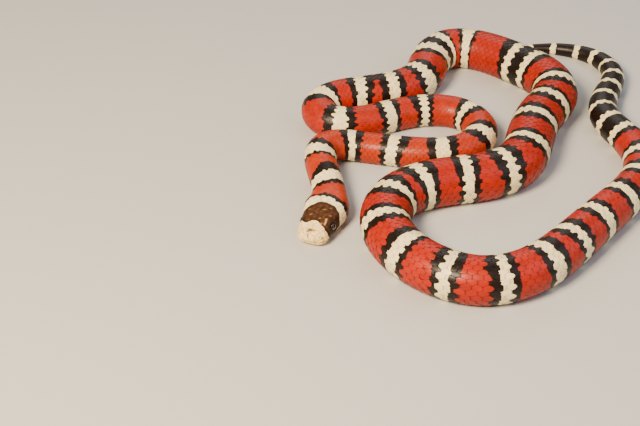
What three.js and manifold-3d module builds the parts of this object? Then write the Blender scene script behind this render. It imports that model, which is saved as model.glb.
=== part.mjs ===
// A milk snake, whole, lying folded on a floor. Millimetres, Z up, floor at z = 0, X to the right
// and Y away from the viewer. Places along the snake are measured from the tip of its snout.
import Module from 'manifold-3d';
import * as THREE from 'three';
import { mergeVertices } from 'three/addons/utils/BufferGeometryUtils.js';

const wasm = await Module();
wasm.setup();

// The line that the body follows on the floor, from the snout to the tip of the tail: control
// points of a smooth curve, chosen by hand.
const route = [
  [-61.8, -54.7], [-59, -47.2], [-56, -39.7], [-54.2, -32], [-55.8, -22], [-58.4, -12],
  [-57.4, -1.5], [-49, 2.4], [-36, 0.2], [-22, -3.6], [-5, -2.8], [5, 11], [-3, 26.5],
  [-19, 28], [-32.5, 22.5], [-44.5, 16.2], [-55, 17.4], [-60, 26], [-54.5, 35.2], [-42, 37.8],
  [-28, 40], [-16, 49.5], [-15, 63], [-7, 75.5], [8, 72], [20, 61], [32, 49], [34, 33],
  [24, 20], [19, 4], [15, -14], [0, -23], [-18, -25], [-34, -34], [-38, -54], [-27, -73],
  [-8, -84], [11, -77], [25, -61], [39, -43], [52, -28], [59, -12], [57, 6], [48, 22],
  [52, 39], [61, 56], [56, 74], [40, 82.5], [26, 82], [16, 88],
];

// Girth, as [place, size] stations. Half widths are in millimetres, the rest are shares.
const halfWidths = [
  [0, 4.9], [3, 5.4], [6, 5.9], [10, 6.4], [14, 7.3], [17, 7.9], [20, 7.5], [24, 6.5], [28, 6],
  [33, 5.8], [60, 5.9], [110, 6.2], [180, 6.6], [240, 7.8], [300, 8.6], [370, 8.9], [430, 8.9],
  [500, 8.4], [570, 7.2], [610, 6.3], [630, 5.7], [660, 4.7], [700, 2.7], [727, 0.9],
];
const heightPerHalfWidth = [
  [0, 1.12], [3, 1.15], [6, 1.25], [10, 1.3], [14, 1.28], [17, 1.23], [20, 1.3], [24, 1.48],
  [28, 1.63], [33, 1.73], [45, 1.75], [727, 1.75],
];
const waistShare = [[0, 0.44], [10, 0.4], [20, 0.42], [33, 0.457], [727, 0.457]];
const crownPower = [[0, 2.4], [6, 2.8], [14, 2.8], [22, 2.4], [33, 2.05], [727, 2.05]];

const headLength = 27;
const ventPlace = 617;
const neckLift = { from: 18, to: 75, height: 2.6 };
const noseRound = { length: 3.4, power: 2.2, height: 3.1 };
const tailRound = { length: 1.6, power: 2, height: 0.8 };
const jawSetback = { depth: 0.7, length: 6 };
// The belly half of a section reaches this many waist heights down before the floor cuts it flat.
const bellyReach = 1.1875;
const brow = { place: 8.3, length: 2.8, angle: 0.9, width: 0.3, height: 0.35 };
const lorealHollow = { place: 5.2, length: 1.6, angle: 0.5, width: 0.3, height: -0.22 };
const upperLip = { place: 9, length: 6, angle: 0.02, width: 0.2, height: 0.18 };
const eye = { place: 8.4, height: 4.95, radius: 1.4, stand: 0.3 };
const nostril = { place: 2, height: 4, radius: 0.5 };
const mouth = { height: 2.3, end: 17.2, rise: 0.9, riseFrom: 10, slit: 0.3, depth: 0.7 };
const gap = 0.3;

// How fine the solids are.
const sides = 22;
const headSides = 30;
const step = { long: 5, bend: 0.28, head: 1.15 };
const longestPiece = 62;
const shortestPiece = 25;
const largestTurn = 1.3;

const red = '#c83a12';
const cream = '#f3e2b4';
const darkBrown = '#3a1d10';

// A uniform cubic B-spline through the plane, with an extra control point beyond each end so that
// it starts and stops on the outer ones.
class FloorLine extends THREE.Curve {
  constructor(points) {
    super();
    const inner = points.map(([x, y]) => new THREE.Vector2(x, y));
    const last = inner.length - 1;
    const before = inner[0].clone().multiplyScalar(2).sub(inner[1]);
    const after = inner[last].clone().multiplyScalar(2).sub(inner[last - 1]);
    this.controls = [before, ...inner, after];
    this.arcLengthDivisions = 6000;
  }

  getPoint(t, target = new THREE.Vector2()) {
    const spans = this.controls.length - 3;
    const first = Math.min(Math.floor(t * spans), spans - 1);
    const u = t * spans - first;
    const weights = [
      (1 - u) ** 3,
      3 * u ** 3 - 6 * u ** 2 + 4,
      -3 * u ** 3 + 3 * u ** 2 + 3 * u + 1,
      u ** 3,
    ];
    target.set(0, 0);
    weights.forEach((weight, i) => target.addScaledVector(this.controls[first + i], weight / 6));
    return target;
  }
}

const spine = new FloorLine(route);
const snakeLength = spine.getLength();

// Smooth value of a list of stations at a place: a cubic between neighbours, whose slope at each
// station is that of the line from the one before it to the one after it.
function valueAt(stations, place) {
  const last = stations.length - 1;
  const next = Math.max(1, stations.findIndex(([s], i) => s >= place || i === last));
  const slope = (i) => {
    const [s0, v0] = stations[Math.max(0, i - 1)];
    const [s1, v1] = stations[Math.min(last, i + 1)];
    return (v1 - v0) / (s1 - s0);
  };
  const [s0, v0] = stations[next - 1];
  const [s1, v1] = stations[next];
  const span = s1 - s0;
  const u = THREE.MathUtils.clamp((place - s0) / span, 0, 1);
  const start = v0 * (1 + 2 * u) * (1 - u) ** 2 + slope(next - 1) * span * u * (1 - u) ** 2;
  const end = v1 * (3 - 2 * u) * u ** 2 - slope(next) * span * (1 - u) * u ** 2;
  return start + end;
}

const bell = (x) => Math.exp(-x * x);
const signedPower = (x, power) => Math.sign(x) * Math.abs(x) ** power;

// How far the section has grown from nothing at a rounded end: a superellipse quarter.
function roundedEnd(distance, { length, power }) {
  const left = THREE.MathUtils.clamp(1 - distance / length, 0, 1);
  return (1 - left ** power) ** (1 / power);
}

// The neck's rise over the floor: one smooth wave between the chin and the first fold.
function liftAt(place) {
  const share = THREE.MathUtils.clamp((place - neckLift.from) / (neckLift.to - neckLift.from), 0, 1);
  return neckLift.height * Math.sin(Math.PI * share) ** 2;
}

// A swelling or hollow on both sides of the head, at an angle above the widest line.
function bulgeAt(place, angle, { place: centre, length, angle: middle, width, height }) {
  const across = bell((angle - middle) / width) + bell((Math.PI - angle - middle) / width);
  return height * bell((place - centre) / length) * across;
}

// A point of the body's outline at a place, as [place, side, up]. The share runs from 0 at one
// corner of the belly over the back to 1 at the other. The upper half is a superellipse, the lower
// half an ellipse that the floor cuts flat. Both shrink to a point at the rounded ends.
function outline(place, share, inset = 0) {
  const corner = Math.asin(1 / bellyReach);
  const angle = -corner + share * (Math.PI + 2 * corner);
  const half = valueAt(halfWidths, place);
  const height = half * valueAt(heightPerHalfWidth, place);
  const waist = height * valueAt(waistShare, place);
  const power = angle > 0 && angle < Math.PI ? 2 / valueAt(crownPower, place) : 1;
  const reach = angle > 0 && angle < Math.PI ? height - waist : bellyReach * waist;
  const features = [brow, lorealHollow, upperLip];
  const bulge = features.reduce((sum, feature) => sum + bulgeAt(place, angle, feature), -inset);
  const side = half * signedPower(Math.cos(angle), power) + bulge * Math.cos(angle);
  const up = waist + reach * signedPower(Math.sin(angle), power) + bulge * Math.sin(angle);
  const nose = roundedEnd(place - inset, noseRound);
  const tail = roundedEnd(snakeLength - place, tailRound);
  const end = nose < 1 ? noseRound.height : tailRound.height;
  const low = Math.max(0, -Math.sin(angle)) * Math.max(0, 1 - place / jawSetback.length) ** 2;
  const grown = nose * tail;
  return [place + jawSetback.depth * low, side * grown, Math.max(inset, end + (up - end) * grown)];
}

// From [place, side, up] along the snake to a point in space.
function inSpace(place, side, up) {
  const share = THREE.MathUtils.clamp(place / snakeLength, 0, 1);
  const point = spine.getPointAt(share);
  const along = spine.getTangentAt(share);
  const beyond = place - share * snakeLength;
  const x = point.x + along.x * beyond - along.y * side;
  const y = point.y + along.y * beyond + along.x * side;
  return new THREE.Vector3(x, y, up + liftAt(place));
}

// Radius of the spine's bend at a place, from the turn over two millimetres.
function bendRadius(place) {
  const before = spine.getTangentAt(Math.max(0, (place - 1) / snakeLength));
  const after = spine.getTangentAt(Math.min(1, (place + 1) / snakeLength));
  return 2 / Math.max(1e-3, before.angleTo(after));
}

// Places of the rings of vertices, closer together in a bend.
function ringPlaces(from, to) {
  const places = [from];
  while (places.at(-1) < to) {
    const here = places.at(-1);
    places.push(here + Math.min(step.long, step.bend * bendRadius(here)));
  }
  const shrink = (to - from) / (places.at(-1) - from);
  return places.map((place) => from + (place - from) * shrink);
}

// A closed solid over rings of equal size, whose ends are fans round one point each.
function loft(rings, firstPoint, lastPoint) {
  const count = rings[0].length;
  const points = [...rings.flat(), firstPoint, lastPoint];
  const first = points.length - 2;
  const last = points.length - 1;
  const lastRing = (rings.length - 1) * count;
  const indices = [];
  for (let i = 0; i < count; i += 1) {
    const next = (i + 1) % count;
    indices.push(first, next, i);
    indices.push(last, lastRing + i, lastRing + next);
    for (let row = 0; row < lastRing; row += count) {
      indices.push(row + i, row + next, row + count + next);
      indices.push(row + i, row + count + next, row + count + i);
    }
  }
  const geometry = new THREE.BufferGeometry().setFromPoints(points);
  geometry.setIndex(indices);
  geometry.computeVertexNormals();
  return geometry;
}

// One ring of the outline in space.
function ringAt(place, count, inset = 0) {
  const shares = Array.from({ length: count }, (_, i) => i / (count - 1));
  return shares.map((share) => inSpace(...outline(place, share, inset)));
}

// The middle of a section, where the fan of a flat end meets.
function middleOf(place) {
  return inSpace(place, 0, outline(place, 0.5)[2] / 2);
}

// A length of the body with flat ends, half a gap short at each.
function bodyLengthGeometry(from, to) {
  const places = ringPlaces(from + gap / 2, to - gap / 2);
  const rings = places.map((place) => ringAt(place, sides));
  return loft(rings, middleOf(places[0]), middleOf(places.at(-1)));
}

// The last length, which ends in the rounded tip of the tail.
function tailTipGeometry(from) {
  const roundFrom = snakeLength - tailRound.length;
  const tipShares = [0.35, 0.65, 0.88, 0.97];
  const tipPlaces = tipShares.map((share) => roundFrom + share * tailRound.length);
  const places = [...ringPlaces(from + gap / 2, roundFrom), ...tipPlaces];
  const rings = places.map((place) => ringAt(place, sides));
  return loft(rings, middleOf(places[0]), inSpace(snakeLength, 0, tailRound.height));
}

// The head before its cuts: rings crowd together at the nose, where the outline turns fastest.
function headGeometry(inset = 0) {
  const turns = 6;
  const nosePlaces = Array.from({ length: turns }, (_, i) => {
    const angle = ((i + 1) / turns) * (Math.PI / 2);
    return inset + noseRound.length * (1 - Math.cos(angle));
  });
  const rear = headLength - gap / 2;
  const rows = Math.ceil((rear - nosePlaces.at(-1)) / step.head);
  const rowLength = (rear - nosePlaces.at(-1)) / rows;
  const rowPlaces = Array.from({ length: rows }, (_, i) => nosePlaces.at(-1) + (i + 1) * rowLength);
  const places = [...nosePlaces, ...rowPlaces];
  const rings = places.map((place) => ringAt(place, headSides, inset));
  return loft(rings, inSpace(inset, 0, noseRound.height), middleOf(rear));
}

// Height of the line between the lips: level, then rising to the corner of the mouth.
function mouthHeight(place) {
  return mouth.height + mouth.rise * THREE.MathUtils.smoothstep(place, mouth.riseFrom, mouth.end);
}

// A thin sheet through the head along the mouth, open beyond the lips.
function mouthSheetGeometry() {
  const reach = 12;
  const front = -3;
  const rows = 16;
  const geometry = new THREE.BoxGeometry(mouth.end - front, 2 * reach, mouth.slit, rows, 1, 1);
  const position = geometry.getAttribute('position');
  const middle = (mouth.end + front) / 2;
  for (let i = 0; i < position.count; i += 1) {
    const place = position.getX(i) + middle;
    const up = mouthHeight(place) + position.getZ(i);
    const point = inSpace(place, position.getY(i), up);
    position.setXYZ(i, point.x, point.y, point.z);
  }
  return geometry;
}

// Half the head's width at a height above the widest line, at a place.
function sideAt(place, up) {
  const half = valueAt(halfWidths, place);
  const height = half * valueAt(heightPerHalfWidth, place);
  const waist = height * valueAt(waistShare, place);
  const power = valueAt(crownPower, place);
  return half * (1 - ((up - waist) / (height - waist)) ** power) ** (1 / power);
}

// A ball on the head's side, sunk so that only its stand shows. Side is 1 or -1.
function ballGeometry({ place, height, radius, stand }, side, sunkRadius = radius) {
  const geometry = new THREE.SphereGeometry(sunkRadius, 16, 10);
  const centre = inSpace(place, side * (sideAt(place, height) + stand - radius), height);
  geometry.translate(centre.x, centre.y, centre.z);
  return geometry;
}

function solidOf(geometry) {
  const plain = geometry.clone();
  plain.deleteAttribute('normal');
  plain.deleteAttribute('uv');
  const merged = mergeVertices(plain, 1e-5);
  const mesh = new wasm.Mesh({
    numProp: 3,
    vertProperties: merged.getAttribute('position').array,
    triVerts: new Uint32Array(merged.getIndex().array),
  });
  return new wasm.Manifold(mesh);
}

function geometryOf(solid) {
  const mesh = solid.getMesh();
  const geometry = new THREE.BufferGeometry();
  geometry.setAttribute('position', new THREE.BufferAttribute(mesh.vertProperties, 3));
  geometry.setIndex(new THREE.BufferAttribute(mesh.triVerts, 1));
  geometry.computeVertexNormals();
  return geometry;
}

// The head with its eye sockets, nostril pits and the line of the mouth cut in.
function cutHeadGeometry() {
  const lips = solidOf(mouthSheetGeometry()).subtract(solidOf(headGeometry(mouth.depth)));
  let head = solidOf(headGeometry()).subtract(lips);
  for (const side of [1, -1]) {
    const socket = ballGeometry(eye, side, eye.radius + gap);
    const pit = ballGeometry({ ...nostril, stand: nostril.radius * 0.55 }, side);
    head = head.subtract(solidOf(socket)).subtract(solidOf(pit));
  }
  const pieces = head.decompose();
  pieces.sort((a, b) => b.volume() - a.volume());
  return geometryOf(pieces[0]);
}

// Where a stretch is divided: after the longest piece, or sooner where it turns far.
function divide(from, to) {
  const cuts = [from];
  for (let place = from; place < to; place += 1) {
    const start = spine.getTangentAt(cuts.at(-1) / snakeLength);
    const turned = start.angleTo(spine.getTangentAt(place / snakeLength));
    const run = place - cuts.at(-1);
    const due = turned > largestTurn || run > longestPiece;
    if (due && run > shortestPiece && to - place > shortestPiece) {
      cuts.push(place);
    }
  }
  return [...cuts, to];
}

const snake = new THREE.Group();

function addPart(name, geometry, color, roughness) {
  const material = new THREE.MeshStandardMaterial({ color, roughness, metalness: 0 });
  const mesh = new THREE.Mesh(geometry, material);
  mesh.name = name;
  snake.add(mesh);
}

addPart('head', cutHeadGeometry(), cream, 0.4);
addPart('eye_right', ballGeometry(eye, 1), darkBrown, 0.1);
addPart('eye_left', ballGeometry(eye, -1), darkBrown, 0.1);

const trunkCuts = divide(headLength, ventPlace);
for (let i = 0; i < trunkCuts.length - 1; i += 1) {
  const name = i === 0 ? 'neck' : `body_${String(i).padStart(2, '0')}`;
  addPart(name, bodyLengthGeometry(trunkCuts[i], trunkCuts[i + 1]), red, 0.4);
}

const tailCuts = divide(ventPlace, snakeLength);
for (let i = 0; i < tailCuts.length - 2; i += 1) {
  addPart(`tail_${i + 1}`, bodyLengthGeometry(tailCuts[i], tailCuts[i + 1]), darkBrown, 0.4);
}
addPart('tail_tip', tailTipGeometry(tailCuts.at(-2)), darkBrown, 0.4);

export default snake;
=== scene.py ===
import bpy
import numpy as np
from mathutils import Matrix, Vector


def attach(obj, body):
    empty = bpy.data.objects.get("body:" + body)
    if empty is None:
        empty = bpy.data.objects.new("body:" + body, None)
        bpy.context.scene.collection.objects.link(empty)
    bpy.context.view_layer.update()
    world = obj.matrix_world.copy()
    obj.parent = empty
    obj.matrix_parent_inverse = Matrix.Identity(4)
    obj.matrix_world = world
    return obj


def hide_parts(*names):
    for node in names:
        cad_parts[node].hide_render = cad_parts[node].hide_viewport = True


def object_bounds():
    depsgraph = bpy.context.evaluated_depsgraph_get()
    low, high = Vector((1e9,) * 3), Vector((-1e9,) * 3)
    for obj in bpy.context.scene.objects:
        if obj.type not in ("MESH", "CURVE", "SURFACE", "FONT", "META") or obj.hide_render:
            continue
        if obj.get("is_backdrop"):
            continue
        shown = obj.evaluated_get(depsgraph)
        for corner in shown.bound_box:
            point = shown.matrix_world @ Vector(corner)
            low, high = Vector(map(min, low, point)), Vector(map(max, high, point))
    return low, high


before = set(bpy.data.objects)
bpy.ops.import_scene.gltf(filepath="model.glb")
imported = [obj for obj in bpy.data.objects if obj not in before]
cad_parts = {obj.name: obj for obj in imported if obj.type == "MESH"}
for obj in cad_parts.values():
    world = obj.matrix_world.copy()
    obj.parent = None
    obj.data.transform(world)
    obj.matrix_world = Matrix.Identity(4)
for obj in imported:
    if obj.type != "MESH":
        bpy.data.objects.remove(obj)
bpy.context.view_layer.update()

# A milk snake, whole, lying folded on a pale floor. Lengths are in millimetres until a mesh is made.
# A place is measured along the snake from the tip of its snout. A turn runs round the body: 0 on
# the middle of the back, 1 and -1 at the corners of the belly, and on to the middle of the belly.

metresPerMm = 0.001
print("frame loaded")

# The line that the body follows on the floor: its control points
route = [
    (-61.8, -54.7), (-59, -47.2), (-56, -39.7), (-54.2, -32), (-55.8, -22), (-58.4, -12),
    (-57.4, -1.5), (-49, 2.4), (-36, 0.2), (-22, -3.6), (-5, -2.8), (5, 11), (-3, 26.5),
    (-19, 28), (-32.5, 22.5), (-44.5, 16.2), (-55, 17.4), (-60, 26), (-54.5, 35.2), (-42, 37.8),
    (-28, 40), (-16, 49.5), (-15, 63), (-7, 75.5), (8, 72), (20, 61), (32, 49), (34, 33),
    (24, 20), (19, 4), (15, -14), (0, -23), (-18, -25), (-34, -34), (-38, -54), (-27, -73),
    (-8, -84), (11, -77), (25, -61), (39, -43), (52, -28), (59, -12), (57, 6), (48, 22),
    (52, 39), (61, 56), (56, 74), (40, 82.5), (26, 82), (16, 88),
]

girth = {  # stations are (place, size)
    "halfWidths": [
        (0, 4.9), (3, 5.4), (6, 5.9), (10, 6.4), (14, 7.3), (17, 7.9), (20, 7.5), (24, 6.5),
        (28, 6), (33, 5.8), (60, 5.9), (110, 6.2), (180, 6.6), (240, 7.8), (300, 8.6),
        (370, 8.9), (430, 8.9), (500, 8.4), (570, 7.2), (610, 6.3), (630, 5.7), (660, 4.7),
        (700, 2.7), (727, 0.9),
    ],
    "heightPerHalfWidth": [
        (0, 1.12), (3, 1.15), (6, 1.25), (10, 1.3), (14, 1.28), (17, 1.23), (20, 1.3),
        (24, 1.48), (28, 1.63), (33, 1.73), (45, 1.75), (727, 1.75),
    ],
    "waistShare": [(0, 0.44), (10, 0.4), (20, 0.42), (33, 0.457), (727, 0.457)],
    "crownPower": [(0, 2.4), (6, 2.8), (14, 2.8), (22, 2.4), (33, 2.05), (727, 2.05)],
    "bellyReach": 1.1875,  # how many waist heights the belly's ellipse would go down uncut
    "bellyTurn": 0.226,  # the turn from a corner of the belly to its middle
    "neckLift": {"from": 18, "to": 75, "height": 2.6},
    "nose": {"length": 3.4, "power": 2.2, "height": 3.1},
    "tail": {"length": 1.6, "power": 2, "height": 0.8},
    "jawSetback": {"depth": 0.7, "length": 6},
    "swellings": [  # brow, hollow before the eye, upper lip
        {"place": 8.3, "length": 2.8, "angle": 0.9, "width": 0.3, "height": 0.35},
        {"place": 5.2, "length": 1.6, "angle": 0.5, "width": 0.3, "height": -0.22},
        {"place": 9, "length": 6, "angle": 0.02, "width": 0.2, "height": 0.18},
    ],
}
ventPlace = 617
bellyMiddle = 1 + girth["bellyTurn"]  # the turn of the middle of the belly


def bell(x):  # e to the minus x squared
    return np.exp(-x * x)


def ramp(low, high, x):  # 0 below low, 1 above high, and 3u^2 - 2u^3 between
    u = np.clip((x - low) / (high - low), 0, 1)
    return u * u * (3 - 2 * u)


def gridOf(rows, columns):  # all pairs of the two, row by row, as two flat arrays
    return [grid.ravel() for grid in np.meshgrid(rows, columns, indexing="ij")]


def facesOf(*corners):  # a face for each entry of the corners' arrays; a lone number serves for all
    return np.stack(np.broadcast_arrays(*corners), axis=-1)


# A uniform cubic B-spline: each point is a weighted mean of four control points, with one more
# beyond each end, so that the line starts and stops on the outer ones.
def floorLine(points, samples=24000):
    inner = np.asarray(points, float)
    controls = np.vstack([2 * inner[0] - inner[1], inner, 2 * inner[-1] - inner[-2]])
    t = np.linspace(0, len(controls) - 3, samples)
    first = np.minimum(t.astype(int), len(controls) - 4)
    u = (t - first)[:, None]
    weights = [
        (1 - u) ** 3,
        3 * u ** 3 - 6 * u ** 2 + 4,
        -3 * u ** 3 + 3 * u ** 2 + 3 * u + 1,
        u ** 3,
    ]
    line = sum(weight * controls[first + i] for i, weight in enumerate(weights)) / 6
    run = np.r_[0, np.cumsum(np.hypot(*np.diff(line, axis=0).T))]
    return line, run, np.gradient(line, run, axis=0)


spine, spineRun, spineAlong = floorLine(route)
snakeLength = spineRun[-1]


# Smooth value of a list of stations: a cubic between neighbours, whose slope at each station is
# that of the line from the one before it to the one after it.
def valueAt(stations, place):
    places, values = np.asarray(stations, float).T
    slopes = np.r_[values[1:], values[-1]] - np.r_[values[0], values[:-1]]
    slopes = slopes / (np.r_[places[1:], places[-1]] - np.r_[places[0], places[:-1]])
    after = np.clip(np.searchsorted(places, place), 1, len(places) - 1)
    before = after - 1
    span = places[after] - places[before]
    u = np.clip((place - places[before]) / span, 0, 1)
    start = values[before] * (1 + 2 * u) + slopes[before] * span * u
    end = values[after] * (3 - 2 * u) - slopes[after] * span * (1 - u)
    return start * (1 - u) ** 2 + end * u ** 2


# How far the section has grown from nothing at a rounded end: a superellipse quarter.
def roundedEnd(distance, end):
    left = np.clip(1 - distance / end["length"], 0, 1)
    return (1 - left ** end["power"]) ** (1 / end["power"])


def foldTurn(turn):  # past the middle of the belly a turn comes round to the other side
    return (turn + bellyMiddle) % (2 * bellyMiddle) - bellyMiddle


# The section: a superellipse above the widest line, an ellipse below it that the floor cuts flat,
# swollen outwards by the bells of the head and drawn in by the inset, and shrunk towards a point
# at both rounded ends. Across the flat belly the side runs evenly from corner to corner.
def outlineAt(place, turn, inset):
    turn = foldTurn(turn)
    corner = np.arcsin(1 / girth["bellyReach"])
    angle = -corner + (0.5 + 0.5 * np.clip(turn, -1, 1)) * (np.pi + 2 * corner)
    half = valueAt(girth["halfWidths"], place)
    height = half * valueAt(girth["heightPerHalfWidth"], place)
    waist = height * valueAt(girth["waistShare"], place)
    upper = (angle > 0) & (angle < np.pi)
    power = np.where(upper, 2 / valueAt(girth["crownPower"], place), 1)
    reach = np.where(upper, height - waist, girth["bellyReach"] * waist)
    bulge = -inset
    for swelling in girth["swellings"]:
        above = bell((angle - swelling["angle"]) / swelling["width"])
        other = bell((np.pi - angle - swelling["angle"]) / swelling["width"])
        along = bell((place - swelling["place"]) / swelling["length"])
        bulge = bulge + swelling["height"] * along * (above + other)
    cosine, sine = np.cos(angle), np.sin(angle)
    side = half * np.sign(cosine) * np.abs(cosine) ** power + bulge * cosine
    up = waist + reach * np.sign(sine) * np.abs(sine) ** power + bulge * sine
    nose, tail = girth["nose"], girth["tail"]
    noseGrown = roundedEnd(place - inset, nose)
    grown = noseGrown * roundedEnd(snakeLength - place, tail)
    middle = np.where(noseGrown < 1, nose["height"], tail["height"])
    setback = girth["jawSetback"]
    low = np.maximum(0, -sine) * np.maximum(0, 1 - place / setback["length"]) ** 2
    across = 1 - np.clip(np.abs(turn) - 1, 0, girth["bellyTurn"]) / girth["bellyTurn"]
    up = np.maximum(inset, middle + (up - middle) * grown)
    return place + setback["depth"] * low, side * grown * across, up


# From (place, side, up) along the snake to a point in space: to the left of the line by the side,
# up by the height and by the neck's rise, one wave of a squared sine.
def inSpace(place, side, up):
    on = np.clip(place, 0, snakeLength)
    x, y = (np.interp(on, spineRun, spine[:, i]) for i in (0, 1))
    alongX, alongY = (np.interp(on, spineRun, spineAlong[:, i]) for i in (0, 1))
    beyond = place - on
    lift = girth["neckLift"]
    share = np.clip((place - lift["from"]) / (lift["to"] - lift["from"]), 0, 1)
    rise = lift["height"] * np.sin(np.pi * share) ** 2
    return np.stack([
        x + alongX * beyond - alongY * side,
        y + alongY * beyond + alongX * side,
        up + rise,
    ], axis=-1)


def pointAt(place, turn, inset):  # the outline's point in space
    return inSpace(*outlineAt(place, turn, inset))


# Makes a mesh object from points in millimetres and blocks of equal faces, a block being (faces,
# smooth). The layers hold four numbers for each point, and the spots lie on the map OFBake.
def makePiece(name, points, blocks, layers, material, spots=None):
    corners = [np.asarray(faces).ravel() for faces, smooth in blocks]
    sizes = np.concatenate([np.full(len(faces), len(faces[0])) for faces, smooth in blocks])
    smoothness = np.concatenate([np.full(len(faces), smooth) for faces, smooth in blocks])
    mesh = bpy.data.meshes.new(name)
    mesh.vertices.add(len(points))
    mesh.vertices.foreach_set("co", (points * metresPerMm).astype(np.float32).ravel())
    flat = np.concatenate(corners)
    mesh.loops.add(len(flat))
    mesh.loops.foreach_set("vertex_index", flat.astype(np.int32))
    mesh.polygons.add(len(sizes))
    mesh.polygons.foreach_set("loop_start", np.r_[0, np.cumsum(sizes)[:-1]].astype(np.int32))
    mesh.polygons.foreach_set("use_smooth", smoothness)
    for layerName, values in layers.items():
        attribute = mesh.color_attributes.new(layerName, "FLOAT_COLOR", "POINT")
        attribute.data.foreach_set("color", values.astype(np.float32).ravel())
    if spots is not None:
        layer = mesh.uv_layers.new(name="OFBake")
        layer.data.foreach_set("uv", spots[flat].astype(np.float32).ravel())
    mesh.update(calc_edges=True)
    mesh.materials.append(material)
    piece = bpy.data.objects.new(name, mesh)
    bpy.context.scene.collection.objects.link(piece)
    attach(piece, "root")
    print(name, "made with", int(np.sum(sizes - 2)), "triangles")
    return piece


# Colours and the pattern

def linear(hexText):  # an sRGB hex colour as linear numbers
    srgb = np.array([int(hexText[i:i + 2], 16) for i in (1, 3, 5)]) / 255
    return np.where(srgb <= 0.04045, srgb / 12.92, ((srgb + 0.055) / 1.055) ** 2.4)


colours = {
    "cream": "#ffefba",
    "snout": "#ffe29c",
    "red": "#ac2f00",
    "redBack": "#a41d00",
    "black": "#150b06",
    "cap": "#2c1a09",
    "redBelly": "#d8694a",
    "fleck": "#40280e",
    "tan": "#d9a860",
    "tanSpot": "#a3743a",
    "capFleck": "#6e4013",
    # nostril is the colour of the painted shade in all the head's hollows: the nostrils, the mouth
    # line, the grooves between the shields and round the eyes
    "nostril": "#1a0e08",
    "pupil": "#050405",
    "iris": "#21150f",
}
paint = {name: linear(text) for name, text in colours.items()}

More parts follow.
